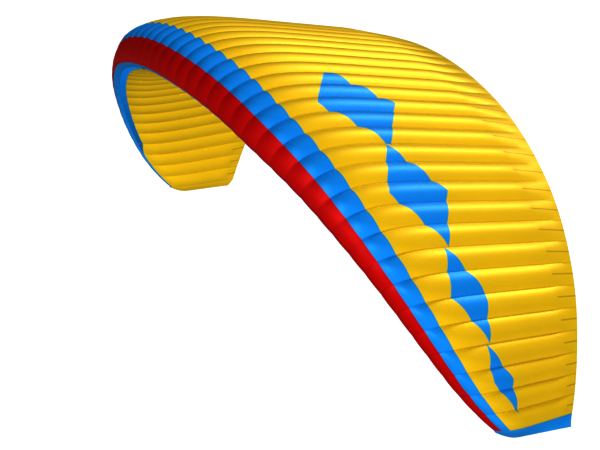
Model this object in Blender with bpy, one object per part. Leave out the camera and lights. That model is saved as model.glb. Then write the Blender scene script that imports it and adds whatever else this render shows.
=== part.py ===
"""Paraglider wing: a ram-air canopy of sewn cloth cells, built at real size in metres.

+X runs along the span to the pilot's left tip, -Y is the nose and +Z is up. The wing flies level
and bends down in an arc to both tips. Its skins are thin cloth sheets that swell between the ribs
they are sewn to. The origin is on the lower seam of the centre rib at mid chord, in the middle of
the places where the suspension lines pull.

A point on a skin is given by a share of the half span, signed by side, and by a nose parameter:
its square is the share of the chord, above zero on the upper skin and below zero on the lower one.
"""

import math

import bmesh
import bpy
import numpy as np
from mathutils import Vector

# Span and cells
HALF_CELLS = 23
HALF_SPAN = 5.45  # along the bent arc, centre rib to outermost rib
SLOPE_TERMS = ((1, 0.7759), (3, 0.7479), (7, -0.1456))  # power of the share, radians at the tip
WIDTH_TERMS = ((2, 0.1744), (6, 0.1178))  # how the cells narrow towards the tips

# Plan, by share of the half span
PLAN_COLUMNS = ("share", "chord", "set_back", "red_edge", "blue_edge", "mouth_edge")
PLAN = (
    (0.00, 3.121, 0.000, 0.0375, 0.1123, 0.0552),
    (0.30, 2.978, 0.106, 0.0373, 0.1120, 0.0556),
    (0.55, 2.576, 0.400, 0.0355, 0.1088, 0.0576),
    (0.75, 2.031, 0.778, 0.0314, 0.1013, 0.0614),
    (0.90, 1.451, 1.185, 0.0303, 0.0977, 0.0660),
    (0.96, 1.149, 1.416, 0.0343, 0.1028, 0.0683),
    (1.00, 0.901, 1.613, 0.0406, 0.1118, 0.0700),
)

# Aerofoil: weights of the height near the nose, at mid chord and near the trailing edge
UPPER_WEIGHTS = (0.4545, 0.1819, 0.2195)
LOWER_WEIGHTS = (0.1720, 0.1003, 0.0502)
TIP_FATNESS = 0.254
TWIST_TERMS = ((2, 0.0356), (4, -0.0376), (8, 0.0531))  # power of the share, radians

# Cloth
SKIN = 0.0015
RIB = 0.0012
GAP = 0.0003
EDGE_HALF = SKIN + GAP / 2  # the skins meet at the trailing edge with a gap between them
SWELL_PLACES = (-0.40, -0.18, 0.00, 0.16, 0.32)  # nose parameters
SWELL_FADE = 0.045  # share of the chord over which it flattens at the back
SWELL = (0.10, 0.04, 0.03, 0.06, 0.135)  # height of a cell's crown there, as a share of its width

# Seams across the skins, as nose parameters
TAB_SHARE = 0.5  # of the chord, where the middle row of lines pulls
NOSE_SEAM = -0.045
LIP_SEAM = -0.167
LAST_RIB_STATION = 0.98
RED_STATIONS = 3
BLUE_STATIONS = 2
SAIL_STATIONS = (0.45, 0.57, 0.69, 0.80, 0.90, LAST_RIB_STATION, 1.0)
LOWER_STATIONS = (-1.0, -LAST_RIB_STATION, -0.87, -math.sqrt(TAB_SHARE), -0.56, -0.40)
LIP_ENDS = (4, 11, 17, HALF_CELLS)  # ribs where the pieces of the nose lip end, on each side
LAST_OPEN_RIB = 19  # air intakes run between these ribs and close within one more cell

# Tip panels
TIP_WIDTH = 0.118
TIP_STEPS = (0.35, 0.7, 1.0)
TIP_FALL = 1.5  # power by which the section thins out towards the tip's edge
TIP_TAPER = 0.078  # how much shorter the tip's edge is than the outermost rib
TIP_SHIFT = 0.021  # how far its nose lies behind the rib's

COLOURS = {
    "red_cloth": (0.60, 0.003, 0.003),
    "blue_cloth": (0.008, 0.20, 0.83),
    "yellow_cloth": (1.0, 0.57, 0.008),
}
ARC_STEPS = 400
SMALL = 1e-4


def clear_scene():
    for thing in list(bpy.data.objects):
        bpy.data.objects.remove(thing, do_unlink=True)


def cloth_material(name):
    material = bpy.data.materials.new(name)
    material.use_nodes = True
    shader = material.node_tree.nodes["Principled BSDF"]
    shader.inputs["Base Color"].default_value = (*COLOURS[name], 1.0)
    shader.inputs["Roughness"].default_value = 0.45
    shader.inputs["Metallic"].default_value = 0.0
    return material


# ---------------------------------------------------------------- plan, arc and section


def pchip_slopes(places, values):
    """Slopes of a smooth curve through a table that never overshoots it."""
    steps = np.diff(places)
    rates = np.diff(values) / steps
    slopes = np.zeros(len(places))
    for i in range(1, len(places) - 1):
        if rates[i - 1] * rates[i] > 0:
            first = 2 * steps[i] + steps[i - 1]
            second = steps[i] + 2 * steps[i - 1]
            slopes[i] = (first + second) / (first / rates[i - 1] + second / rates[i])
    slopes[-1] = rates[-1] + (rates[-1] - slopes[-2]) / 2
    return slopes


def smooth_columns():
    table = np.array(PLAN)
    places = table[:, 0]
    return {
        name: (places, table[:, i], pchip_slopes(places, table[:, i]))
        for i, name in enumerate(PLAN_COLUMNS)
    }


def plan(name, share):
    """A column of the plan at a share of the half span."""
    places, values, slopes = COLUMNS[name]
    at = min(abs(share), 1.0)
    i = min(int(np.searchsorted(places, at, side="right")) - 1, len(places) - 2)
    step = places[i + 1] - places[i]
    t = (at - places[i]) / step
    return float(
        values[i] * (1 + 2 * t) * (1 - t) ** 2
        + slopes[i] * step * t * (1 - t) ** 2
        + values[i + 1] * t * t * (3 - 2 * t)
        + slopes[i + 1] * step * t * t * (t - 1)
    )


def bent_arc():
    """Shares, X, Z and slope of the arc that the chord lines hang on."""
    shares = np.linspace(0.0, 1.0, ARC_STEPS + 1)
    slopes = sum(gain * shares**power for power, gain in SLOPE_TERMS)
    step = HALF_SPAN / ARC_STEPS
    across = (np.cos(slopes[1:]) + np.cos(slopes[:-1])) / 2 * step
    down = (np.sin(slopes[1:]) + np.sin(slopes[:-1])) / 2 * step
    x = np.concatenate([[0.0], np.cumsum(across)])
    z = -np.concatenate([[0.0], np.cumsum(down)])
    return shares, x, z, slopes


def rib_shares():
    """Share of the half span of each rib, from the centre rib to the outermost one."""
    middles = (np.arange(HALF_CELLS) + 0.5) / HALF_CELLS
    widths = 1 - sum(gain * middles**power for power, gain in WIDTH_TERMS)
    ends = np.concatenate([[0.0], np.cumsum(widths)])
    return ends / ends[-1]


def profile(w):
    """Height of the section over the chord line, as a share of the chord."""
    nose, middle, tail = UPPER_WEIGHTS if w >= 0 else LOWER_WEIGHTS
    u = w * w
    v = 1 - u
    return w * v * (nose * v * v + 2 * middle * u * v + tail * u * u)


def section(share, w, depth=0.0):
    """(distance behind the arc, height over it) of a point this deep under the outer face."""

    def outer(w):
        chord = plan("chord", share)
        along = chord * w * w
        height = chord * profile(w) * (1 + TIP_FATNESS * share**4)
        height += math.copysign(EDGE_HALF * w * w, w)
        twist = sum(gain * share**power for power, gain in TWIST_TERMS)
        back = plan("set_back", share) + along * math.cos(twist) + height * math.sin(twist)
        return np.array([back, height * math.cos(twist) - along * math.sin(twist)])

    ahead = min(w + SMALL, 1.0)
    behind = max(w - SMALL, -1.0)
    run = outer(ahead) - outer(behind)
    normal = np.array([-run[1], run[0]]) / np.hypot(*run)
    return outer(w) - depth * normal


def frame_at(share):
    """(place on the arc, up, outwards) at a signed share of the half span."""
    side = math.copysign(1.0, share)
    shares, x, z, slopes = ARC
    at = min(abs(share), 1.0)
    slope = float(np.interp(at, shares, slopes))
    place = Vector((side * float(np.interp(at, shares, x)), 0.0, float(np.interp(at, shares, z))))
    up = Vector((side * math.sin(slope), 0.0, math.cos(slope)))
    outwards = Vector((side * math.cos(slope), 0.0, -math.sin(slope)))
    return place - ORIGIN, up, outwards


def skin_point(share, w, depth=0.0):
    place, up, _ = frame_at(share)
    back, height = (float(part) for part in section(abs(share), w, depth))
    return place + Vector((0.0, back, 0.0)) + height * up


def tip_point(side, w, reach, depth=0.0):
    """A point on the cap beyond the outermost rib, from 0 at the rib to 1 at the tip's edge."""
    place, up, outwards = frame_at(side)
    back, height = (float(part) for part in section(1.0, w, depth))
    fall = reach**TIP_FALL
    edge = 0.0 if abs(w) < SMALL else math.copysign(EDGE_HALF - depth, w)
    rounding = math.sin(min(1.0, w * w / 0.3) * math.pi / 2)
    width = TIP_WIDTH * (0.25 + 0.75 * rounding)
    height = height * (1 - fall) + edge * fall
    front = plan("set_back", 1.0)
    back = front + (back - front) * (1 - TIP_TAPER * reach) + TIP_SHIFT * reach
    return place + Vector((0.0, back, 0.0)) + height * up + width * reach * outwards


def trimmed(share, w, ahead):
    """A seam's nose parameter moved half a gap off the seam, towards 1 or towards -1."""
    rate = np.hypot(*(section(share, w + SMALL) - section(share, w - SMALL))) / (2 * SMALL)
    return w + ahead * GAP / 2 / rate


# ---------------------------------------------------------------- closed cloth sheets


def new_object(name, mesh, material):
    mesh.materials.append(material)
    mesh.shade_smooth()
    mesh.set_sharp_from_angle(angle=math.radians(40))
    thing = bpy.data.objects.new(name, mesh)
    bpy.context.scene.collection.objects.link(thing)
    return thing


def closed_sheet(name, outer, inner, material):
    """One closed body between two grids of points, given column by column."""
    shape = bmesh.new()
    faces_out = [[shape.verts.new(p) for p in column] for column in outer]
    faces_in = [[shape.verts.new(p) for p in column] for column in inner]
    last_i = len(outer) - 1
    last_j = len(outer[0]) - 1
    for i in range(last_i):
        for j in range(last_j):
            a, b, c, d = (faces_out[i][j], faces_out[i + 1][j], faces_out[i + 1][j + 1],
                          faces_out[i][j + 1])
            shape.faces.new((a, b, c, d))
            a, b, c, d = (faces_in[i][j], faces_in[i + 1][j], faces_in[i + 1][j + 1],
                          faces_in[i][j + 1])
            shape.faces.new((d, c, b, a))
    for i in range(last_i):
        for j in (0, last_j):
            shape.faces.new((faces_out[i][j], faces_out[i + 1][j], faces_in[i + 1][j],
                             faces_in[i][j]))
    for j in range(last_j):
        for i in (0, last_i):
            shape.faces.new((faces_out[i][j], faces_out[i][j + 1], faces_in[i][j + 1],
                             faces_in[i][j]))
    bmesh.ops.recalc_face_normals(shape, faces=shape.faces)
    bmesh.ops.triangulate(shape, faces=shape.faces)
    mesh = bpy.data.meshes.new(name)
    shape.to_mesh(mesh)
    shape.free()
    return new_object(name, mesh, material)


def span_columns():
    """(signed rib number, signed share, cell width) of each rib and each cell middle."""
    columns = []
    for half in range(-2 * HALF_CELLS, 2 * HALF_CELLS + 1):
        number = half / 2
        inner = int(math.floor(abs(number)))
        if half % 2 == 0:
            columns.append((number, math.copysign(RIBS[inner], number), 0.0))
        else:
            share = (RIBS[inner] + RIBS[inner + 1]) / 2
            width = (RIBS[inner + 1] - RIBS[inner]) * HALF_SPAN
            columns.append((number, math.copysign(share, number), width))
    return columns


def swell(w, width):
    """How far a cell's middle stands out; it dies away at the trailing edge."""
    crown = float(np.interp(w, SWELL_PLACES, SWELL))
    fade = min(1.0, math.sqrt(max(0.0, 1 - w * w) / SWELL_FADE))
    return crown * width * fade


def skin_sheet(name, stations_at, material, first=-HALF_CELLS, last=HALF_CELLS, with_tips=False):
    """A skin between two seams and two ribs; stations_at gives a column's nose parameters."""
    outer, inner = [], []
    for number, share, width in span_columns():
        if not first <= number <= last:
            continue
        at = share
        if number in (first, last) and not with_tips:
            at += GAP / 2 / HALF_SPAN * (1 if number == first else -1)
        stations = stations_at(number, abs(at))
        outer.append([skin_point(at, w, -swell(w, width)) for w in stations])
        inner.append([skin_point(at, w, SKIN - swell(w, width)) for w in stations])
    if with_tips:
        stations = stations_at(HALF_CELLS, 1.0)
        for reach in TIP_STEPS:
            outer.append([tip_point(1, w, reach) for w in stations])
            inner.append([tip_point(1, w, reach, SKIN) for w in stations])
            outer.insert(0, [tip_point(-1, w, reach) for w in stations])
            inner.insert(0, [tip_point(-1, w, reach, SKIN) for w in stations])
    return closed_sheet(name, outer, inner, material)


def even(first, last, count):
    return [first + (last - first) * i / count for i in range(count + 1)]


def red_stations(number, share):
    first = trimmed(share, NOSE_SEAM, 1)
    last = trimmed(share, math.sqrt(plan("red_edge", share)), -1)
    return even(first, last, RED_STATIONS)


def blue_stations(number, share):
    first = trimmed(share, math.sqrt(plan("red_edge", share)), 1)
    last = trimmed(share, math.sqrt(plan("blue_edge", share)), -1)
    return even(first, last, BLUE_STATIONS)


def sail_stations(number, share):
    return [trimmed(share, math.sqrt(plan("blue_edge", share)), 1), *SAIL_STATIONS]


def lip_stations(number, share):
    return even(trimmed(share, LIP_SEAM, 1), trimmed(share, NOSE_SEAM, -1), 2)


def lower_stations(number, share):
    """The lower sail starts behind the intakes, and meets the nose lip where they end."""
    closed = min(1.0, max(0.0, abs(number) - LAST_OPEN_RIB))
    open_front = -math.sqrt(plan("mouth_edge", share))
    front = open_front + (trimmed(share, LIP_SEAM, -1) - open_front) * closed
    return [*LOWER_STATIONS, front]


def tip_stations():
    """The tip panel wraps the nose, from the lip's seam to the trailing edge."""
    first = trimmed(1.0, LIP_SEAM, 1)
    blue = math.sqrt(plan("blue_edge", 1.0))
    return [first, first / 2, 0.0, blue / 2, blue, *SAIL_STATIONS[1:]]


def tip_panel(name, side, material):
    stations = tip_stations()
    start = GAP / 2 / TIP_WIDTH * 4
    steps = (start, *TIP_STEPS)
    outer = [[tip_point(side, w, reach) for w in stations] for reach in steps]
    inner = [[tip_point(side, w, reach, SKIN) for w in stations] for reach in steps]
    return closed_sheet(name, outer, inner, material)


def rib(number, material):
    """A flat cloth rib inside the skins, its edge a gap under them."""
    share = math.copysign(min(RIBS[abs(number)], 1 - RIB / HALF_SPAN), number)
    at = abs(share)
    upper = [*red_stations(number, at), *blue_stations(number, at)[1:], *SAIL_STATIONS[:-1]]
    lower = [*LOWER_STATIONS[1:], lower_stations(number, at)[-1], *lip_stations(number, at)[:-1]]
    outer, inner = (
        [skin_point(share + offset / HALF_SPAN, w, SKIN + GAP) for w in (*lower, *upper)]
        for offset in (RIB / 2, -RIB / 2)
    )
    side = "left" if number > 0 else "right"
    name = f"rib_{side}_{abs(number):02d}" if number else "rib_centre"
    return plate(name, outer, inner, material)


def plate(name, outer, inner, material):
    """A flat plate between two outlines."""
    shape = bmesh.new()
    a = [shape.verts.new(p) for p in outer]
    b = [shape.verts.new(p) for p in inner]
    for i in range(len(a)):
        k = (i + 1) % len(a)
        shape.faces.new((a[i], a[k], b[k], b[i]))
    shape.faces.new(a)
    shape.faces.new(b)
    bmesh.ops.recalc_face_normals(shape, faces=shape.faces)
    bmesh.ops.triangulate(shape, faces=shape.faces)
    mesh = bpy.data.meshes.new(name)
    shape.to_mesh(mesh)
    shape.free()
    return new_object(name, mesh, material)


def build():
    clear_scene()
    cloth = {name: cloth_material(name) for name in COLOURS}
    skin_sheet("nose_red", red_stations, cloth["red_cloth"])
    skin_sheet("band_blue", blue_stations, cloth["blue_cloth"])
    skin_sheet("upper_sail", sail_stations, cloth["yellow_cloth"])
    inner_end = LIP_ENDS[0]
    skin_sheet("nose_lip_centre", lip_stations, cloth["blue_cloth"], -inner_end, inner_end)
    for i, (start, end) in enumerate(zip(LIP_ENDS[:-1], LIP_ENDS[1:]), 1):
        skin_sheet(f"nose_lip_left_{i}", lip_stations, cloth["blue_cloth"], start, end)
        skin_sheet(f"nose_lip_right_{i}", lip_stations, cloth["blue_cloth"], -end, -start)
    skin_sheet("lower_sail", lower_stations, cloth["yellow_cloth"], with_tips=True)
    tip_panel("tip_panel_left", 1, cloth["blue_cloth"])
    tip_panel("tip_panel_right", -1, cloth["blue_cloth"])
    for number in range(-HALF_CELLS, HALF_CELLS + 1):
        rib(number, cloth["blue_cloth"])


COLUMNS = smooth_columns()
ARC = bent_arc()
RIBS = rib_shares()
ORIGIN = Vector((0.0, 0.0, 0.0))
ORIGIN = skin_point(0.0, -math.sqrt(TAB_SHARE))
build()
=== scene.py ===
"""Dresses the solids of a paraglider wing in sewn cloth.

Units are metres, +X runs to the pilot's left tip, -Y is the nose and +Z is up. The origin is on
the lower seam of the centre rib at mid chord. A point on a skin is given by its rib number, counted
from the centre rib, and by a nose parameter: its square is the share of the chord, above zero on
the upper skin and below zero on the lower one.
"""

import math

import bmesh
import bpy
import numpy as np
from bpy.props import FloatProperty, FloatVectorProperty, IntProperty, PointerProperty
from mathutils import Matrix, Vector


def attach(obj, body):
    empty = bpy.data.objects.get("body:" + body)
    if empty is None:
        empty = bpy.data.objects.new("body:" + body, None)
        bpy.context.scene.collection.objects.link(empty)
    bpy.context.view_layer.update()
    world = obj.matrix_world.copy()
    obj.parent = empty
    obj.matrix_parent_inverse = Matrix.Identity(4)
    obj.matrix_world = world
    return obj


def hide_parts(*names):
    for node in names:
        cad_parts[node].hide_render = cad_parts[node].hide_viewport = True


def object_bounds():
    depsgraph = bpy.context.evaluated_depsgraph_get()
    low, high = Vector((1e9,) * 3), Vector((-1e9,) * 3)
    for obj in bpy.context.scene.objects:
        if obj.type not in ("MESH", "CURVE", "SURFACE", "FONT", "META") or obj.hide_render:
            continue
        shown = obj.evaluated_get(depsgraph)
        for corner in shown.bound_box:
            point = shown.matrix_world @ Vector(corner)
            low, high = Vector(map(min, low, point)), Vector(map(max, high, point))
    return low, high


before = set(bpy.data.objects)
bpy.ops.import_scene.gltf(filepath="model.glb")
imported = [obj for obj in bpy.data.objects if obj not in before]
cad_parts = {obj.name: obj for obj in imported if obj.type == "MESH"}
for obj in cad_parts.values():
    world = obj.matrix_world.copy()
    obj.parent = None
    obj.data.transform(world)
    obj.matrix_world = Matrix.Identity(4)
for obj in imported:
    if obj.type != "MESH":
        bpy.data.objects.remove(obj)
CAD_BOX = [list(corner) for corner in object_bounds()]

bl_info = {
    "name": "Paraglider Wing",
    "version": (1, 0, 0),
    "blender": (4, 5, 0),
    "location": "3D View > Sidebar > Wing",
    "description": "Dresses a paraglider wing in sewn cloth",
    "category": "Object",
}

# ------------------------------------------------------------------ shape shared with the solids

HALF_CELLS = 23
HALF_SPAN = 5.45
# Terms are (power, gain) of the share of the half span
SLOPE_TERMS = ((1, 0.7759), (3, 0.7479), (7, -0.1456))  # of the arc, in radians
WIDTH_TERMS = ((2, 0.1744), (6, 0.1178))  # by which the cells get narrower
TWIST_TERMS = ((2, 0.0356), (4, -0.0376), (8, 0.0531))  # trailing edge down, in radians
# Set back and chord in metres; the edges of the bands and the mouth as shares of the chord
PLAN_COLUMNS = ("share", "chord", "set_back", "red_edge", "blue_edge", "mouth_edge")
PLAN = (
    (0.00, 3.121, 0.000, 0.0375, 0.1123, 0.0552),
    (0.30, 2.978, 0.106, 0.0373, 0.1120, 0.0556),
    (0.55, 2.576, 0.400, 0.0355, 0.1088, 0.0576),
    (0.75, 2.031, 0.778, 0.0314, 0.1013, 0.0614),
    (0.90, 1.451, 1.185, 0.0303, 0.0977, 0.0660),
    (0.96, 1.149, 1.416, 0.0343, 0.1028, 0.0683),
    (1.00, 0.901, 1.613, 0.0406, 0.1118, 0.0700),
)
UPPER_WEIGHTS = (0.4545, 0.1819, 0.2195)  # of the section's curve, from nose to back
LOWER_WEIGHTS = (0.1720, 0.1003, 0.0502)
TIP_FATNESS = 0.254  # how much fuller the section is at the tips
NOSE_SEAM = -0.045  # nose parameters of the lip's two seams
LIP_SEAM = -0.167
LAST_OPEN_RIB = 19
LIP_ENDS = (4, 11, 17, HALF_CELLS)  # ribs at which its pieces end
LIP_LENGTH = 0.0335  # along the skin, as a share of the chord
TIP_WIDTH = 0.118
TIP_FALL = 1.5  # power at which a tip cap gets flatter outwards
TIP_TAPER = 0.078
TIP_SHIFT = 0.021
TIP_ROUNDING = 0.3  # chord share over which a tip cap's outline is rounded
TIP_BLUNT = 0.25  # share of its width that a cap keeps at the nose
SKIN = 0.0015
RIB = 0.0012
RIB_END = 0.98  # nose parameter where a rib stops, short of the trailing edge
GAP = 0.0003
EDGE_HALF = SKIN + GAP / 2
ORIGIN = np.array([0.0, 1.5605, -0.11743])  # seen from the nose of the centre rib
SMALL = 1e-4
SAMPLES = 401

# ------------------------------------------------------------------ fixed values of the dressing

# Rows of faces along the chord; the sails have finer ones behind the nose parameter FINE_FROM
RED_ROWS = 8
BLUE_ROWS = 6
SAIL_ROWS = (24, 14)
LIP_ROWS = 4
LOWER_ROWS = (14, 26)
FINE_FROM = 0.92
TIP_ROWS = (8, 6, 24)
TIP_STEPS = 10
CAP_CELLS = 0.5  # rib numbers that a tip cap takes up on the panel map

# Crowns
CROWN_PLACES = (-0.40, -0.18, 0.0, 0.16, 0.24, 0.35)  # nose parameters of the values in settled
BAND_CROWN = 2.5  # times the nose crown, on the blue band
FRONT_CROWN = 0.95  # times the upper crown, behind the blue band
CROWN_FADE = 0.8  # power at which a crown fades towards the trailing edge
MINI_DEPTH = 0.25  # share of a crown that a mini rib reshapes
MINI_RISE = 0.42  # what is left of one crown there
MINI_PAIR = 0.40  # height of the two crowns beside it
MINI_RUN = 0.03  # chord share over which one crown becomes two
MINI_TAPER = 0.35  # how much shorter the mini ribs are at the tips

# Sewing, painted shade beside seams and mini ribs, and weave, in metres where not said otherwise
SHARP_EDGE = 24.0  # degrees
STITCH_INSET = 0.005
STITCH_HALF = 0.0006
STITCH_PAUSE = 0.3  # share of a stitch's length that shows no thread
STITCH_SHADE = 0.45
# Painted shade: the cloth is darkened towards a dark brown beside the seams and mini ribs
SEAM_PAINTED_SHADES = {"seam": 0.2, "mini": 0.55}  # depth of shade
PAINTED_SHADE_STRENGTH = 0.7
PAINTED_SHADE_COLOUR = (0.12, 0.10, 0.08, 1.0)
THREAD_SHARE = 0.06  # of a ripstop square
THREAD_RISE = 0.03  # height of its thicker threads, where a pucker's is 1
WORN_TINT = (0.5, 0.4, 0.3, 1.0)
WORN_SHADE = 0.06

# Lozenges on the upper sail: middle and half size, in rib numbers and in shares of the chord
LOZENGES = (
    # rib, share, half cells, half chord
    (7.6, 0.38, 2.6, 0.15),
    (12.6, 0.355, 2.4, 0.13),
    (17.0, 0.33, 2.0, 0.10),
    (20.6, 0.305, 1.6, 0.08),
)

# Line tabs: loops of tape, pinched flat in the seam and squeezed at the eye
TAB_RIBS = (2, 5, 8, 11, 14, 17, 20)
TAB_SHARES = (0.12, 0.36, 0.62)
TAB_RADIUS = 0.008
TAB_WIDTH = 0.012
TAB_DROP = 0.0085
TAB_TAPE = 0.001
TAB_ENDS = (
    # lowest and highest point of the end, raised by, squeezed to
    (-0.020, -0.011, -0.009, 0.8),
    (-0.004, 0.001, 0.0, 0.35),
)

# Stage
FLOOR_SIZE = 400.0
FLOOR_BOUNCE = (0.35, 0.35, 0.35, 1.0)
WHITE = (1.0, 1.0, 1.0, 1.0)
BLACK = (0.0, 0.0, 0.0, 1.0)
SENSOR = 36.0  # millimetres
CAMERA_SHIFT = -0.0024
CAMERA_REACH = (0.5, 500.0)
SUN_WIDTH = 12  # degrees
SUN_PLACES = {"side": (9.9, -0.8, 0.2), "back": (-2.6, 6.3, 7.3), "front": (2.1, -9.5, 2.1)}


def pchip_slopes(places, values):
    """Slopes of a smooth curve through a table that never overshoots it."""
    steps = np.diff(places)
    rates = np.diff(values) / steps
    slopes = np.zeros(len(places))
    for i in range(1, len(places) - 1):
        if rates[i - 1] * rates[i] > 0:
            first = 2 * steps[i] + steps[i - 1]
            second = steps[i] + 2 * steps[i - 1]
            slopes[i] = (first + second) / (first / rates[i - 1] + second / rates[i])
    slopes[-1] = rates[-1] + (rates[-1] - slopes[-2]) / 2
    return slopes


def sampled_plan():
    """Each column of the plan at SAMPLES places along the half span."""
    table = np.array(PLAN)
    places = table[:, 0]
    at = np.linspace(0.0, 1.0, SAMPLES)
    i = np.clip(np.searchsorted(places, at, side="right") - 1, 0, len(places) - 2)
    step = places[i + 1] - places[i]
    t = (at - places[i]) / step
    columns = {}
    for name, values in zip(PLAN_COLUMNS, table.T):
        slopes = pchip_slopes(places, values)
        columns[name] = (
            values[i] * (1 + 2 * t) * (1 - t) ** 2
            + slopes[i] * step * t * (1 - t) ** 2
            + values[i + 1] * t * t * (3 - 2 * t)
            + slopes[i + 1] * step * t * t * (t - 1)
        )
    return at, columns


def bent_arc():
    """Shares, X, Z and slope of the arc that the chord lines hang on."""
    shares = np.linspace(0.0, 1.0, SAMPLES)
    slopes = sum(gain * shares**power for power, gain in SLOPE_TERMS)
    step = HALF_SPAN / (SAMPLES - 1)
    across = (np.cos(slopes[1:]) + np.cos(slopes[:-1])) / 2 * step
    down = (np.sin(slopes[1:]) + np.sin(slopes[:-1])) / 2 * step
    x = np.concatenate([[0.0], np.cumsum(across)])
    z = -np.concatenate([[0.0], np.cumsum(down)])
    return shares, x, z, slopes


def rib_shares():
    """Share of the half span of each rib, from the centre rib to the outermost one."""
    middles = (np.arange(HALF_CELLS) + 0.5) / HALF_CELLS
    widths = 1 - sum(gain * middles**power for power, gain in WIDTH_TERMS)
    ends = np.concatenate([[0.0], np.cumsum(widths)])
    return ends / ends[-1]


PLAN_AT, PLAN_VALUES = sampled_plan()
ARC = bent_arc()
RIBS = rib_shares()


def plan(name, share):
    """A column of the plan at shares of the half span."""
    return np.interp(np.abs(share), PLAN_AT, PLAN_VALUES[name])


def share_at(number):
    """Signed share of the half span at a rib number, which need not be whole."""
    return np.sign(number) * np.interp(np.abs(number), np.arange(HALF_CELLS + 1), RIBS)


def cell_width(number):
    """Width of the cell that a rib number lies in, smoothed from cell to cell."""
    middles = np.arange(HALF_CELLS) + 0.5
    return np.interp(np.abs(number), middles, np.diff(RIBS) * HALF_SPAN)


def profile(w):
    """Height of the section over the chord line, as a share of the chord."""
    u = w * w
    v = 1 - u
    weights = [np.where(w >= 0, a, b) for a, b in zip(UPPER_WEIGHTS, LOWER_WEIGHTS)]
    return w * v * (weights[0] * v * v + 2 * weights[1] * u * v + weights[2] * u * u)


def outer_section(share, w):
    """(distance behind the arc, height over it) of points on the outer face."""
    chord = plan("chord", share)
    height = chord * profile(w) * (1 + TIP_FATNESS * np.abs(share) ** 4)
    height = height + np.sign(w) * EDGE_HALF * w * w
    twist = sum(gain * np.abs(share) ** power for power, gain in TWIST_TERMS)
    along = chord * w * w
    back = plan("set_back", share) + along * np.cos(twist) + height * np.sin(twist)
    return back, height * np.cos(twist) - along * np.sin(twist)


def section(share, w, depth):
    """(distance behind the arc, height over it) of points this deep under the outer face."""
    ahead = outer_section(share, np.minimum(w + SMALL, 1.0))
    behind = outer_section(share, np.maximum(w - SMALL, -1.0))
    run_back = ahead[0] - behind[0]
    run_up = ahead[1] - behind[1]
    length = np.hypot(run_back, run_up)
    back, height = outer_section(share, w)
    return back + depth * run_up / length, height - depth * run_back / length


def frame_at(share):
    """(x, z) on the arc and its slope at signed shares of the half span."""
    shares, x, z, slopes = ARC
    at = np.abs(share)
    side = np.sign(share)
    across = side * np.interp(at, shares, x)
    return across, np.interp(at, shares, z), side * np.interp(at, shares, slopes)


def skin_points(number, w, depth):
    """Points on the skins, as an array with x, y and z last."""
    share = share_at(number)
    x, z, slope = frame_at(share)
    back, height = section(np.abs(share), w, depth)
    place = np.stack([x + height * np.sin(slope), back, z + height * np.cos(slope)], axis=-1)
    return place - ORIGIN


def tip_points(side, w, reach, depth):
    """Points on the cap beyond the outermost rib, from 0 at the rib to 1 at the tip's edge."""
    x, z, slope = frame_at(np.full_like(w, side, dtype=float))
    back, height = section(np.ones_like(w), w, depth)
    fall = reach**TIP_FALL
    edge = np.where(np.abs(w) < SMALL, 0.0, np.sign(w) * (EDGE_HALF - depth))
    rounding = np.sin(np.minimum(1.0, w * w / TIP_ROUNDING) * math.pi / 2)
    width = TIP_WIDTH * (TIP_BLUNT + (1 - TIP_BLUNT) * rounding) * reach
    height = height * (1 - fall) + edge * fall
    front = plan("set_back", 1.0)
    back = front + (back - front) * (1 - TIP_TAPER * reach) + TIP_SHIFT * reach
    place = np.stack(
        [x + height * np.sin(slope) + side * width * np.cos(slope), back,
         z + height * np.cos(slope) - side * width * np.sin(slope)], axis=-1)
    return place - ORIGIN


def seam_matrix(number, w):
    """Place on a seam: Z points into the wing and Y towards the trailing edge."""
    at = [skin_points(np.array(float(number)), np.array(w + step), depth)
          for step, depth in ((0.0, 0.0), (0.0, 0.01), (-0.01, 0.0))]
    inward = Vector(at[1] - at[0]).normalized()
    back = Vector(at[2] - at[0])
    across = back.cross(inward).normalized()
    turn = Matrix((across, inward.cross(across), inward)).transposed()
    return Matrix.Translation(Vector(at[0])) @ turn.to_4x4()


def rows_between(first, last, count):
    """Nose parameters from one seam to another, a row of them for each column."""
    t = np.linspace(0.0, 1.0, count + 1)
    return first[:, None] * (1 - t) + last[:, None] * t


# ------------------------------------------------------------------ settings


class WingShape(bpy.types.PropertyGroup):
    steps: IntProperty(
        name="Steps per cell", description="Columns of faces across one cell", default=12, min=2)
    upper_crown: FloatProperty(
        name="Upper crown", description="Height of a cell's crown as a share of its width",
        default=0.18, min=0.0, max=0.3)
    nose_crown: FloatProperty(
        name="Nose crown", description="The same at the nose", default=0.02, min=0.0, max=0.3)
    lower_crown: FloatProperty(
        name="Lower crown", description="The same on the lower skin", default=0.13, max=0.3)
    edge_fade: FloatProperty(
        name="Edge fade", description="Share of the chord over which crowns flatten at the back",
        default=0.17, min=0.001)
    mini_rib: FloatProperty(
        name="Mini rib", description="Length of the short ribs as a share of the chord",
        default=0.165, min=0.0, max=0.5)
    thickness: FloatProperty(
        name="Cloth", description="Thickness of the cloth sheets", default=SKIN, unit="LENGTH")


class ClothColours(bpy.types.PropertyGroup):
    yellow: FloatVectorProperty(
        name="Yellow", description="Both sails and the line tabs", default=(1.0, 0.72, 0.03),
        size=3, subtype="COLOR", min=0.0, max=1.0)
    blue: FloatVectorProperty(
        name="Blue", description="Blue band, nose lip, tips and lozenges",
        default=(0.025, 0.45, 1.0), size=3, subtype="COLOR", min=0.0, max=1.0)
    red: FloatVectorProperty(
        name="Red", description="Red nose band", default=(0.75, 0.004, 0.004), size=3,
        subtype="COLOR", min=0.0, max=1.0)
    ribs: FloatVectorProperty(
        name="Ribs", description="Cloth of the ribs", default=(0.02, 0.36, 0.78), size=3,
        subtype="COLOR", min=0.0, max=1.0)
    thread: FloatVectorProperty(
        name="Thread", description="Stitching", default=(0.05, 0.05, 0.055), size=3,
        subtype="COLOR", min=0.0, max=1.0)


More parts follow.
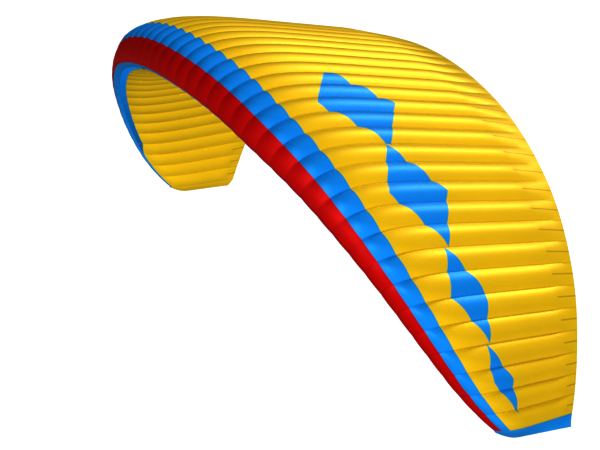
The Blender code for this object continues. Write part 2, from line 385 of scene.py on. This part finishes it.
class StageSettings(bpy.types.PropertyGroup):
    camera_place: FloatVectorProperty(
        name="Camera place", description="Where the camera stands",
        default=(19.0739, -8.7260, 5.2514), subtype="XYZ", unit="LENGTH")
    camera_turn: FloatVectorProperty(
        name="Camera turn", description="Euler angles of the camera",
        default=(math.radians(71.509), math.radians(0.046), math.radians(65.359)),
        subtype="EULER")
    lens: FloatProperty(
        name="Lens", description="Focal length on a 36 mm sensor", default=118.41,
        unit="CAMERA")
    floor_drop: FloatProperty(
        name="Floor", description="How far the floor lies under the wing's lowest point",
        default=9.0, unit="LENGTH")
    side: FloatProperty(
        name="Side light", description="Strength of the light beside the left tip", default=2.4)
    back: FloatProperty(
        name="Back light", description="Strength of the light over the trailing edge", default=2.1)
    front: FloatProperty(
        name="Front light", description="Strength of the light before the nose", default=1.55)
    contrast: FloatProperty(
        name="Contrast", description="Gamma of the view", default=0.556, min=0.1, max=2.0)
    sky: FloatProperty(name="Sky light", description="Strength of the room's light", default=0.07)


# ------------------------------------------------------------------ cloth sheets


def settled(number, w, depth, shape):
    """Skin points with the cells blown up between the ribs."""
    part = np.abs(number - np.round(number)) * 2  # 0 at a rib, 1 at mid cell
    width = cell_width(number)
    crowns = (shape.lower_crown, shape.nose_crown, shape.nose_crown,
              BAND_CROWN * shape.nose_crown, FRONT_CROWN * shape.upper_crown, shape.upper_crown)
    crown = np.interp(w, CROWN_PLACES, crowns)
    share = w * w
    arch = 1 - (1 - part) ** 2
    split = np.clip((share - 1 + mini_rib_length(number, shape)) / MINI_RUN, 0.0, 1.0)
    pair = 1 - (2 * part - 1) ** 2  # two small crowns beside a mini rib
    beside = MINI_RISE * part + MINI_PAIR * pair
    folded = arch * (1 - MINI_DEPTH * split) + MINI_DEPTH * beside * split
    fade = np.clip((1 - share) / shape.edge_fade, 0.0, 1.0) ** CROWN_FADE
    rise = crown * width * folded * fade
    return skin_points(number, w, depth - rise)


def mini_rib_length(number, shape):
    """The mini ribs get shorter towards the tips."""
    return shape.mini_rib * (1 - MINI_TAPER * np.clip(np.abs(number) / HALF_CELLS, 0, 1) ** 3)


def columns_between(first, last, steps):
    """Rib numbers of a sheet's columns, with this many steps in each cell."""
    return np.arange(round((last - first) * steps) + 1) / steps + first


def grid_faces(columns, rows, offset, turned):
    """Faces of one grid of a sheet, whose points start at the offset."""
    i, j = np.meshgrid(np.arange(columns - 1), np.arange(rows - 1), indexing="ij")
    a = (i * rows + j).ravel() + offset
    quads = np.stack([a, a + rows, a + rows + 1, a + 1], axis=-1)
    return quads[:, ::-1] if turned else quads


def rim_faces(columns, rows):
    """Faces that close the edge between the two grids of a sheet."""
    total = columns * rows
    around = (
        [i * rows for i in range(columns)]
        + [(columns - 1) * rows + j for j in range(1, rows)]
        + [i * rows + rows - 1 for i in range(columns - 2, -1, -1)]
        + [j for j in range(rows - 2, 0, -1)]
    )
    ring = np.array(around)
    after = np.roll(ring, -1)
    return np.stack([after, ring, ring + total, after + total], axis=-1)


def cloth_sheet(name, outer, inner, number, chord_share, material):
    """A closed cloth sheet between two grids of points, with its panel and metre maps."""
    columns, rows = outer.shape[:2]
    points = np.concatenate([outer.reshape(-1, 3), inner.reshape(-1, 3)])
    faces = np.concatenate([
        grid_faces(columns, rows, 0, False),
        grid_faces(columns, rows, columns * rows, True),
        rim_faces(columns, rows),
    ])
    mesh = bpy.data.meshes.new(name)
    mesh.from_pydata(points.tolist(), [], faces.tolist())
    share = share_at(number)
    number_grid, share_grid = np.broadcast_arrays(number[:, None], chord_share)
    width = cell_width(number_grid)
    beside = np.abs(number_grid - np.round(number_grid)) * width
    length = mini_rib_length(number_grid, bpy.context.scene.wing_shape)
    behind = (1 - length - np.abs(share_grid)) * plan("chord", share)[:, None]
    mini_grid = np.hypot(width / 2 - beside, np.maximum(behind, 0.0))
    across = np.broadcast_to((share * HALF_SPAN)[:, None], share_grid.shape)
    along = share_grid * plan("chord", share)[:, None]
    maps = {"panel": (number_grid, share_grid), "metres": (across, along)}
    corner = np.empty(len(mesh.loops), dtype=np.int32)
    mesh.loops.foreach_get("vertex_index", corner)
    corner = corner % (columns * rows)
    for map_name, (first, second) in maps.items():
        layer = mesh.uv_layers.new(name=map_name)
        pairs = np.stack([first.ravel()[corner], second.ravel()[corner]], axis=-1)
        layer.data.foreach_set("uv", pairs.ravel().astype(np.float32))
    hem_grid = np.minimum(np.abs(along - along[:, :1]), np.abs(along - along[:, -1:]))
    for label, grid in (("seam", beside), ("mini", mini_grid), ("hem", hem_grid)):
        layer = mesh.attributes.new(label, "FLOAT", "POINT")
        layer.data.foreach_set("value", np.tile(grid.ravel(), 2).astype(np.float32))
    mesh.materials.append(material)
    mesh.shade_smooth()
    mesh.set_sharp_from_angle(angle=math.radians(SHARP_EDGE))
    mesh.update()
    thing = bpy.data.objects.new(name, mesh)
    bpy.context.scene.collection.objects.link(thing)
    recalculate(thing)
    return thing


def recalculate(thing):
    """Turns the faces of a closed sheet outwards."""
    shape = bmesh.new()
    shape.from_mesh(thing.data)
    bmesh.ops.recalc_face_normals(shape, faces=shape.faces)
    shape.to_mesh(thing.data)
    shape.free()


def skin_sheet(name, rows_at, material, first=-HALF_CELLS, last=HALF_CELLS):
    """A skin between two seams and two ribs; rows_at gives each column's nose parameters."""
    shape = bpy.context.scene.wing_shape
    number = columns_between(first, last, shape.steps)
    w = rows_at(number)
    outer = settled(number[:, None], w, 0.0, shape)
    inner = settled(number[:, None], w, shape.thickness, shape)
    return cloth_sheet(name, outer, inner, number, np.sign(w) * w * w, material)


def red_rows(number):
    """Rows of the red band, as a grid of nose parameters; the next functions do the same."""
    share = share_at(number)
    front = np.full_like(share, NOSE_SEAM)
    return rows_between(front, np.sqrt(plan("red_edge", share)), RED_ROWS)


def blue_rows(number):
    share = share_at(number)
    front = np.sqrt(plan("red_edge", share))
    return rows_between(front, np.sqrt(plan("blue_edge", share)), BLUE_ROWS)


def sail_rows(number):
    share = share_at(number)
    fine = np.full_like(share, FINE_FROM)
    front = rows_between(np.sqrt(plan("blue_edge", share)), fine, SAIL_ROWS[0])
    back = rows_between(fine, np.ones_like(share), SAIL_ROWS[1])
    return np.concatenate([front, back[:, 1:]], axis=1)


def lip_rows(number):
    share = share_at(number)
    front = np.full_like(share, NOSE_SEAM)
    return rows_between(np.full_like(share, LIP_SEAM), front, LIP_ROWS)


def lower_rows(number):
    share = share_at(number)
    closed = np.clip(np.abs(number) - LAST_OPEN_RIB, 0.0, 1.0)
    opened = -np.sqrt(plan("mouth_edge", share))
    front = opened + (LIP_SEAM - opened) * closed
    fine = np.full_like(share, -FINE_FROM)
    back = rows_between(-np.ones_like(share), fine, LOWER_ROWS[0])
    fore = rows_between(fine, front, LOWER_ROWS[1])
    return np.concatenate([back, fore[:, 1:]], axis=1)


def tip_rows():
    """Rows of a tip panel, from under the nose to the trailing edge."""
    blue = math.sqrt(plan("blue_edge", 1.0))
    under, over, behind = TIP_ROWS
    return np.concatenate([
        np.linspace(LIP_SEAM, 0.0, under),
        np.linspace(0.0, blue, over)[1:],
        np.linspace(blue, 1.0, behind)[1:],
    ])


def tip_grid(side, w, depth):
    """A grid of points on a tip cap, from the outermost rib outwards."""
    reach = np.linspace(0.0, 1.0, TIP_STEPS + 1)[:, None]
    grid_w = np.broadcast_to(w[None, :], (TIP_STEPS + 1, len(w)))
    return tip_points(float(side), grid_w, np.broadcast_to(reach, grid_w.shape), depth)


def beyond(side, body, cap):
    """A sheet's columns with a cap's columns added at one end."""
    return np.concatenate([cap[::-1], body] if side < 0 else [body, cap])


def rib_outline(number):
    """Nose parameters around a rib, at the rows of the skins over it."""
    at = np.array([number])
    makers = (lower_rows, lip_rows, red_rows, blue_rows, sail_rows)
    w = np.unique(np.concatenate([rows_at(at)[0] for rows_at in makers]).round(6))
    return np.concatenate([[-RIB_END], w[np.abs(w) < RIB_END - 0.001], [RIB_END]])


def rib_sheet(name, number, material):
    """A flat rib between the skins, its edge a gap under them."""
    share = min(RIBS[abs(number)], 1 - RIB / HALF_SPAN)
    place = np.copysign(np.interp(share, RIBS, np.arange(HALF_CELLS + 1)), number)
    middle = skin_points(place, rib_outline(number), SKIN + GAP)
    slope = float(frame_at(np.copysign(share, number))[2])
    across = np.array([math.cos(slope), 0.0, -math.sin(slope)]) * RIB / 2
    shape = bmesh.new()
    one, other = ([shape.verts.new(point) for point in middle + side * across]
                  for side in (1, -1))
    shape.faces.new(one)
    shape.faces.new(other)
    for i in range(len(one)):
        shape.faces.new((one[i - 1], one[i], other[i], other[i - 1]))
    bmesh.ops.recalc_face_normals(shape, faces=shape.faces)
    bmesh.ops.triangulate(shape, faces=shape.faces)
    mesh = bpy.data.meshes.new(name)
    shape.to_mesh(mesh)
    shape.free()
    mesh.materials.append(material)
    thing = bpy.data.objects.new(name, mesh)
    bpy.context.scene.collection.objects.link(thing)
    return thing


# ------------------------------------------------------------------ materials


def node(tree, kind, **values):
    """A shader node with its plain settings and its input values."""
    made = tree.nodes.new(kind)
    for name, value in values.items():
        if name in made.inputs:
            made.inputs[name].default_value = value
        else:
            setattr(made, name, value)
    return made


def maths(tree, operation, first, second=None, clamp=False):
    """A sum on values or sockets; gives the socket of its result."""
    made = node(tree, "ShaderNodeMath", operation=operation, use_clamp=clamp)
    for i, value in enumerate((first, second)):
        if isinstance(value, bpy.types.NodeSocket):
            tree.links.new(value, made.inputs[i])
        elif value is not None:
            made.inputs[i].default_value = value
    return made.outputs[0]


def new_group(name, inputs, outputs):
    """An empty shader group with named values going in and out."""
    group = bpy.data.node_groups.new(name, "ShaderNodeTree")
    for label, default in inputs:
        socket = group.interface.new_socket(label, in_out="INPUT", socket_type="NodeSocketFloat")
        socket.default_value = default
    for label in outputs:
        group.interface.new_socket(label, in_out="OUTPUT", socket_type="NodeSocketFloat")
    start = group.nodes.new("NodeGroupInput")
    end = group.nodes.new("NodeGroupOutput")
    return group, start, end


def ripstop_group():
    """Plain weave with thicker threads in a square grid, from the metre map."""
    group, start, end = new_group("ripstop", (("Square", 0.006),), ("Thread", "Tone"))
    place = node(group, "ShaderNodeUVMap", uv_map="metres")
    split = node(group, "ShaderNodeSeparateXYZ")
    group.links.new(place.outputs["UV"], split.inputs[0])
    lines = []
    for axis in range(2):
        count = maths(group, "DIVIDE", split.outputs[axis], start.outputs["Square"])
        wave = maths(group, "PINGPONG", count, 0.5)
        lines.append(maths(group, "LESS_THAN", wave, THREAD_SHARE))
    grid = maths(group, "MAXIMUM", *lines)
    group.links.new(grid, end.inputs["Thread"])
    patches = node(group, "ShaderNodeTexNoise", noise_dimensions="2D", Scale=1.3, Detail=3.0)
    group.links.new(place.outputs["UV"], patches.inputs["Vector"])
    group.links.new(patches.outputs["Fac"], end.inputs["Tone"])
    return group


def weave_group():
    """Uneven tone of a plain weave, on object coordinates."""
    group, start, end = new_group("weave", (("Scale", 180.0),), ("Tone",))
    place = node(group, "ShaderNodeTexCoord")
    threads = node(group, "ShaderNodeTexNoise", Detail=2.0)
    group.links.new(place.outputs["Object"], threads.inputs["Vector"])
    group.links.new(start.outputs["Scale"], threads.inputs["Scale"])
    group.links.new(threads.outputs["Fac"], end.inputs["Tone"])
    return group


def seam_group():
    """Painted shade along the seams and mini ribs, rows of stitches beside seams and hems, and
    their puckers.
    """
    group, start, end = new_group(
        "seams", (("Crease", 0.010), ("Stitch length", 0.004), ("Pucker width", 0.07)),
        ("Shade", "Stitch", "Pucker"))
    place = node(group, "ShaderNodeUVMap", uv_map="metres")
    split = node(group, "ShaderNodeSeparateXYZ")
    group.links.new(place.outputs["UV"], split.inputs[0])
    stitches = []
    painted_shades = []
    for label, axis in (("seam", 1), ("mini", 1), ("hem", 0)):
        distance = node(group, "ShaderNodeAttribute", attribute_name=label).outputs["Fac"]
        beside = maths(group, "SUBTRACT", distance, STITCH_INSET)
        row = maths(group, "LESS_THAN", maths(group, "ABSOLUTE", beside), STITCH_HALF)
        dash = maths(group, "DIVIDE", split.outputs[axis], start.outputs["Stitch length"])
        dash = maths(group, "GREATER_THAN", maths(group, "FRACT", dash), STITCH_PAUSE)
        stitches.append(maths(group, "MULTIPLY", row, dash))
        # painted shade: darker close to the seams and mini ribs, fading out over the width of the
        # painted shade
        if label in SEAM_PAINTED_SHADES:
            near = maths(group, "DIVIDE", distance, start.outputs["Crease"])
            near = maths(group, "SUBTRACT", 1.0, near, clamp=True)
            painted_shades.append(maths(group, "MULTIPLY", near, SEAM_PAINTED_SHADES[label]))
        if label == "seam":
            pull = maths(group, "DIVIDE", distance, start.outputs["Pucker width"])
            pull = maths(group, "SUBTRACT", 1.0, pull, clamp=True)
    group.links.new(maths(group, "MAXIMUM", *painted_shades), end.inputs["Shade"])
    rows = maths(group, "MAXIMUM", maths(group, "MAXIMUM", *stitches[:2]), stitches[2])
    group.links.new(rows, end.inputs["Stitch"])
    stretched = node(group, "ShaderNodeMapping", Scale=(5.0, 28.0, 1.0))
    group.links.new(place.outputs["UV"], stretched.inputs["Vector"])
    folds = node(group, "ShaderNodeTexNoise", noise_dimensions="2D", Scale=1.0, Detail=2.0)
    group.links.new(stretched.outputs[0], folds.inputs["Vector"])
    group.links.new(maths(group, "MULTIPLY", folds.outputs["Fac"], pull), end.inputs["Pucker"])
    return group


def lozenge_group():
    """Four lozenges on each half of the upper sail, smaller towards the tip."""
    group, start, end = new_group("lozenges", (), ("Mask",))
    place = node(group, "ShaderNodeUVMap", uv_map="panel")
    split = node(group, "ShaderNodeSeparateXYZ")
    group.links.new(place.outputs["UV"], split.inputs[0])
    number = maths(group, "ABSOLUTE", split.outputs[0])
    mask = None
    for rib, share, cells, chord in LOZENGES:
        across = maths(group, "ABSOLUTE", maths(group, "SUBTRACT", number, rib))
        across = maths(group, "DIVIDE", across, cells)
        along = maths(group, "ABSOLUTE", maths(group, "SUBTRACT", split.outputs[1], share))
        along = maths(group, "DIVIDE", along, chord)
        inside = maths(group, "LESS_THAN", maths(group, "ADD", across, along), 1.0)
        mask = inside if mask is None else maths(group, "MAXIMUM", mask, inside)
    group.links.new(mask, end.inputs["Mask"])
    return group


def shared(maker, name):
    """A shader group that is built once and used by each material."""
    return bpy.data.node_groups.get(name) or maker()


def mixed(tree, factor, first, second, blend="MIX"):
    """Two colours mixed by a factor; gives the socket of its result."""
    made = node(tree, "ShaderNodeMix", data_type="RGBA", blend_type=blend)
    sockets = (made.inputs[0], made.inputs[6], made.inputs[7])  # factor, first and second colour
    for socket, value in zip(sockets, (factor, first, second)):
        if isinstance(value, bpy.types.NodeSocket):
            tree.links.new(value, socket)
        else:
            socket.default_value = value
    return made.outputs[2]


def use_group(tree, group):
    made = tree.nodes.new("ShaderNodeGroup")
    made.node_tree = group
    return made


def cloth_material(name, colour, motif=None):
    """Coated ripstop: painted shade beside seams and mini ribs, stitching, weave and, on the upper
    sail, its motif.
    """
    found = bpy.data.materials.get(name)
    if found:
        return found
    colours = bpy.context.scene.cloth_colours
    material = bpy.data.materials.new(name)
    material.use_nodes = True
    tree = material.node_tree
    shader = tree.nodes["Principled BSDF"]
    base = (*colour, 1.0)
    if motif:
        lozenges = use_group(tree, shared(lozenge_group, "lozenges"))
        base = mixed(tree, lozenges.outputs["Mask"], base, (*motif, 1.0))
    weave = use_group(tree, shared(ripstop_group, "ripstop"))
    seams = use_group(tree, shared(seam_group, "seams"))
    tone = node(tree, "ShaderNodeMapRange",
                **{"From Min": 0.3, "From Max": 0.7, "To Min": 0.0, "To Max": WORN_SHADE})
    tree.links.new(weave.outputs["Tone"], tone.inputs["Value"])
    base = mixed(tree, tone.outputs[0], base, WORN_TINT, "MULTIPLY")
    # painted shade: the cloth is darkened towards a dark brown near the seams and mini ribs
    shade = maths(tree, "MULTIPLY", seams.outputs["Shade"], PAINTED_SHADE_STRENGTH)
    base = mixed(tree, shade, base, PAINTED_SHADE_COLOUR, "MULTIPLY")
    stitched = maths(tree, "MULTIPLY", seams.outputs["Stitch"], STITCH_SHADE)
    base = mixed(tree, stitched, base, (*colours.thread, 1.0))
    tree.links.new(base, shader.inputs["Base Color"])
    rough = node(tree, "ShaderNodeMapRange", **{"To Min": 0.50, "To Max": 0.56})
    tree.links.new(weave.outputs["Thread"], rough.inputs["Value"])
    tree.links.new(rough.outputs[0], shader.inputs["Roughness"])
    height = maths(tree, "MULTIPLY", weave.outputs["Thread"], THREAD_RISE)
    height = maths(tree, "ADD", seams.outputs["Pucker"], height)
    relief = node(tree, "ShaderNodeBump", Strength=0.5, Distance=0.004)
    tree.links.new(height, relief.inputs["Height"])
    tree.links.new(relief.outputs[0], shader.inputs["Normal"])
    shader.inputs["Specular IOR Level"].default_value = 0.3
    shader.inputs["Metallic"].default_value = 0.12
    return material


def yellow_cloth():
    return cloth_material("yellow_cloth_plain", bpy.context.scene.cloth_colours.yellow)


def blue_cloth():
    return cloth_material("blue_cloth_plain", bpy.context.scene.cloth_colours.blue)


def woven_material(name, colour, shade, scale, rough, relief=0.0):
    """Plain woven cloth or tape, for pieces that have no maps."""
    material = bpy.data.materials.new(name)
    material.use_nodes = True
    tree = material.node_tree
    shader = tree.nodes["Principled BSDF"]
    weave = use_group(tree, shared(weave_group, "weave"))
    weave.inputs["Scale"].default_value = scale
    dim = [shade * part for part in colour]
    base = mixed(tree, weave.outputs["Tone"], (*colour, 1.0), (*dim, 1.0))
    tree.links.new(base, shader.inputs["Base Color"])
    if relief:
        bump = node(tree, "ShaderNodeBump", Strength=relief, Distance=0.0005)
        tree.links.new(weave.outputs["Tone"], bump.inputs["Height"])
        tree.links.new(bump.outputs[0], shader.inputs["Normal"])
    shader.inputs["Roughness"].default_value = rough
    return material


# ------------------------------------------------------------------ operators


def dressed(thing, slot, flat, area, *nodes):
    """Attaches a finished sheet to the root and hides the solids that it was cut from."""
    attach(thing, "root")
    if nodes:
        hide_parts(*nodes)


class WING_OT_upper_skin(bpy.types.Operator):
    """Red band, blue band and yellow sail of the upper skin"""

    bl_idname = "wing.upper_skin"
    bl_label = "Upper skin"

    def execute(self, context):
        colours = context.scene.cloth_colours
        red = cloth_material("red_cloth_plain", colours.red)
        thing = skin_sheet("red_band_cloth", red_rows, red)
        dressed(thing, "red_cloth", (10.9, 0.31), 2.96, "nose_red")
        thing = skin_sheet("blue_band_cloth", blue_rows, blue_cloth())
        dressed(thing, "blue_cloth", (10.9, 0.26), 2.76, "band_blue")
        patterned = cloth_material("yellow_cloth_patterned", colours.yellow, colours.blue)
        thing = skin_sheet("upper_sail_cloth", sail_rows, patterned)
        dressed(thing, "yellow_cloth", (10.9, 2.81), 27.4, "upper_sail")
        return {"FINISHED"}


class WING_OT_nose_lip(bpy.types.Operator):
    """Blue strips under the nose, in front of the air intakes"""

    bl_idname = "wing.nose_lip"
    bl_label = "Nose lip"

    def execute(self, context):
        pieces = [("nose_lip_centre", -LIP_ENDS[0], LIP_ENDS[0])]
        for i, (start, end) in enumerate(zip(LIP_ENDS[:-1], LIP_ENDS[1:]), 1):
            pieces.append((f"nose_lip_left_{i}", start, end))
            pieces.append((f"nose_lip_right_{i}", -end, -start))
        for name, first, last in pieces:
            thing = skin_sheet(name + "_cloth", lip_rows, blue_cloth(), first, last)
            width = float(share_at(np.array(last)) - share_at(np.array(first))) * HALF_SPAN
            chord = float(plan("chord", share_at(np.array((first + last) / 2))))
            dressed(thing, "blue_cloth", (width, LIP_LENGTH * chord), None, name)
        return {"FINISHED"}


class WING_OT_lower_sail(bpy.types.Operator):
    """Yellow lower sail, from the intakes to the trailing edge and on to both tips"""

    bl_idname = "wing.lower_sail"
    bl_label = "Lower sail"

    def execute(self, context):
        shape = context.scene.wing_shape
        number = columns_between(-HALF_CELLS, HALF_CELLS, shape.steps)
        w = lower_rows(number)
        outer = settled(number[:, None], w, 0.0, shape)
        inner = settled(number[:, None], w, shape.thickness, shape)
        extra = np.linspace(0.0, CAP_CELLS, TIP_STEPS + 1)[1:]
        for side in (-1, 1):
            row = w[0] if side < 0 else w[-1]
            outer = beyond(side, outer, tip_grid(side, row, 0.0)[1:])
            inner = beyond(side, inner, tip_grid(side, row, shape.thickness)[1:])
            number = beyond(side, number, side * (HALF_CELLS + extra))
            w = beyond(side, w, np.repeat(row[None], TIP_STEPS, axis=0))
        thing = cloth_sheet("lower_sail_cloth", outer, inner, number, w * w, yellow_cloth())
        dressed(thing, "yellow_cloth", (11.1, 2.96), 26.1, "lower_sail")
        return {"FINISHED"}


class WING_OT_tip_panels(bpy.types.Operator):
    """Blue end panels outside the last rib on each side"""

    bl_idname = "wing.tip_panels"
    bl_label = "Tip panels"

    def execute(self, context):
        shape = context.scene.wing_shape
        for side, word in ((1, "left"), (-1, "right")):
            w = tip_rows()
            outer = tip_grid(side, w, 0.0)
            inner = tip_grid(side, w, shape.thickness)
            number = side * (HALF_CELLS + np.linspace(0.0, CAP_CELLS, len(outer)))
            chord_share = np.broadcast_to(w * w, outer.shape[:2])
            thing = cloth_sheet(f"tip_panel_{word}_cloth", outer, inner, number, chord_share,
                                blue_cloth())
            dressed(thing, "blue_cloth", (0.85, 0.15), None, f"tip_panel_{word}")
        return {"FINISHED"}


class WING_OT_line_tabs(bpy.types.Operator):
    """Loops of tape in the lower seams, where the lines are tied"""

    bl_idname = "wing.line_tabs"
    bl_label = "Line tabs"

    def execute(self, context):
        bpy.ops.mesh.primitive_cylinder_add(
            vertices=16, radius=TAB_RADIUS, depth=TAB_WIDTH, end_fill_type="NOTHING",
            location=(0.0, 0.0, -TAB_DROP), rotation=(math.pi / 2, 0.0, 0.0))
        bpy.ops.object.transform_apply(location=True, rotation=True, scale=True)
        model = context.object
        model.name = "line_tab"
        bpy.ops.object.mode_set(mode="EDIT")
        for low, high, move, squeeze in TAB_ENDS:
            shape = bmesh.from_edit_mesh(model.data)
            for vertex in shape.verts:
                vertex.select_set(low < vertex.co.z < high)
            shape.select_flush_mode()
            bmesh.update_edit_mesh(model.data)
            bpy.ops.transform.translate(value=(0.0, 0.0, move))
            bpy.ops.transform.resize(value=(squeeze, 1.0, 1.0))
        bpy.ops.object.mode_set(mode="OBJECT")
        wall = model.modifiers.new("tape", "SOLIDIFY")
        wall.thickness = TAB_TAPE
        bpy.ops.object.modifier_apply(modifier=wall.name)
        bpy.ops.object.shade_smooth_by_angle(angle=math.radians(40))
        yellow = context.scene.cloth_colours.yellow
        model.data.materials.append(woven_material("yellow_tape", yellow, 0.7, 900.0, 0.7))
        plain = model.data
        places = [(side * rib, share) for share in TAB_SHARES for rib in TAB_RIBS
                  for side in (-1, 1)]
        for i, (rib, share) in enumerate(places):
            if i == 0:
                tab = model
                tab.data = plain.copy()
            else:
                tab = bpy.data.objects.new("line_tab", plain.copy())
                context.scene.collection.objects.link(tab)
            side = "left" if rib > 0 else "right"
            tab.name = f"line_tab_{side}_{abs(rib):02d}_{round(share * 100):02d}"
            tab.data.transform(seam_matrix(rib, -math.sqrt(share)))
            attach(tab, "root")
        return {"FINISHED"}


class WING_OT_ribs(bpy.types.Operator):
    """Profile ribs of blue cloth, one in each seam and at both ends"""

    bl_idname = "wing.ribs"
    bl_label = "Ribs"

    def execute(self, context):
        colour = context.scene.cloth_colours.ribs
        blue = woven_material("rib_cloth", colour, 0.9, 180.0, 0.55, 0.1)
        for number in range(-HALF_CELLS, HALF_CELLS + 1):
            side = "left" if number > 0 else "right"
            name = f"rib_{side}_{abs(number):02d}" if number else "rib_centre"
            thing = rib_sheet(name + "_cloth", number, blue)
            points = np.array([vertex.co[:] for vertex in thing.data.vertices])
            across, length, up = (float(size) for size in np.ptp(points, axis=0))
            area = sum(face.area for face in thing.data.polygons) / 2
            dressed(thing, "blue_cloth", (length, math.hypot(across, up)), area, name)
        return {"FINISHED"}


class WING_OT_stage(bpy.types.Operator):
    """Floor, lights and camera"""

    bl_idname = "wing.stage"
    bl_label = "Stage"

    def execute(self, context):
        settings = context.scene.stage_settings
        low = CAD_BOX[0][2] - settings.floor_drop
        bpy.ops.mesh.primitive_plane_add(size=FLOOR_SIZE, location=(0.0, 0.0, low))
        floor = context.object
        floor.name = "floor"
        pale = bpy.data.materials.new("pale_floor")
        pale.use_nodes = True
        shader = pale.node_tree.nodes["Principled BSDF"]
        rays = node(pale.node_tree, "ShaderNodeLightPath")
        seen = mixed(pale.node_tree, rays.outputs["Is Camera Ray"], FLOOR_BOUNCE, WHITE)
        pale.node_tree.links.new(seen, shader.inputs["Base Color"])
        glow = mixed(pale.node_tree, rays.outputs["Is Camera Ray"], BLACK, WHITE)
        pale.node_tree.links.new(glow, shader.inputs["Emission Color"])
        shader.inputs["Emission Strength"].default_value = 0.4
        shader.inputs["Roughness"].default_value = 0.9
        shader.inputs["Specular IOR Level"].default_value = 0.0
        floor.data.materials.append(pale)
        for word, place in SUN_PLACES.items():
            bpy.ops.object.light_add(type="SUN", location=place)
            light = context.object
            light.name = word + "_light"
            light.data.energy = getattr(settings, word)
            light.data.angle = math.radians(SUN_WIDTH)
            light.data.use_shadow = word == "back"
            light.visible_glossy = word != "side"
            light.rotation_euler = Vector(place).to_track_quat("Z", "Y").to_euler()
        world = bpy.data.worlds.new("soft_room")
        context.scene.world = world
        context.scene.view_settings.view_transform = "Standard"
        context.scene.view_settings.gamma = settings.contrast
        world.use_nodes = True
        rays = node(world.node_tree, "ShaderNodeLightPath")
        dim = (settings.sky, settings.sky, settings.sky, 1.0)
        seen = mixed(world.node_tree, rays.outputs["Is Camera Ray"], dim, WHITE)
        world.node_tree.links.new(seen, world.node_tree.nodes["Background"].inputs["Color"])
        bpy.ops.object.camera_add(location=settings.camera_place, rotation=settings.camera_turn)
        camera = context.object
        camera.name = "camera"
        camera.data.lens = settings.lens
        camera.data.sensor_width = SENSOR
        camera.data.shift_x = CAMERA_SHIFT
        camera.data.clip_start, camera.data.clip_end = CAMERA_REACH
        context.scene.camera = camera
        return {"FINISHED"}


class WING_PT_panel(bpy.types.Panel):
    """Lists the wing's settings and pieces"""

    bl_idname = "WING_PT_panel"
    bl_label = "Paraglider Wing"
    bl_space_type = "VIEW_3D"
    bl_region_type = "UI"
    bl_category = "Wing"

    def draw(self, context):
        scene = context.scene
        for label, group in (("Shape", scene.wing_shape), ("Cloth", scene.cloth_colours),
                             ("Stage", scene.stage_settings)):
            box = self.layout.box()
            box.label(text=label)
            for key in group.bl_rna.properties.keys():
                if key not in ("rna_type", "name"):
                    box.prop(group, key)
        for operator in STEPS:
            self.layout.operator(operator.bl_idname)


GROUPS = (
    ("wing_shape", WingShape),
    ("cloth_colours", ClothColours),
    ("stage_settings", StageSettings),
)
STEPS = (
    WING_OT_upper_skin,
    WING_OT_nose_lip,
    WING_OT_lower_sail,
    WING_OT_tip_panels,
    WING_OT_line_tabs,
    WING_OT_ribs,
    WING_OT_stage,
)


def register():
    for name, group in GROUPS:
        bpy.utils.register_class(group)
        setattr(bpy.types.Scene, name, PointerProperty(type=group))
    for operator in STEPS:
        bpy.utils.register_class(operator)
    bpy.utils.register_class(WING_PT_panel)


def unregister():
    bpy.utils.unregister_class(WING_PT_panel)
    for operator in reversed(STEPS):
        bpy.utils.unregister_class(operator)
    for name, group in reversed(GROUPS):
        delattr(bpy.types.Scene, name)
        bpy.utils.unregister_class(group)


def main():
    register()
    bpy.ops.object.select_all(action="DESELECT")
    bpy.ops.wing.upper_skin()
    bpy.ops.wing.nose_lip()
    bpy.ops.wing.lower_sail()
    bpy.ops.wing.tip_panels()
    bpy.ops.wing.line_tabs()
    bpy.ops.wing.ribs()
    bpy.ops.wing.stage()


if __name__ == "__main__":
    main()
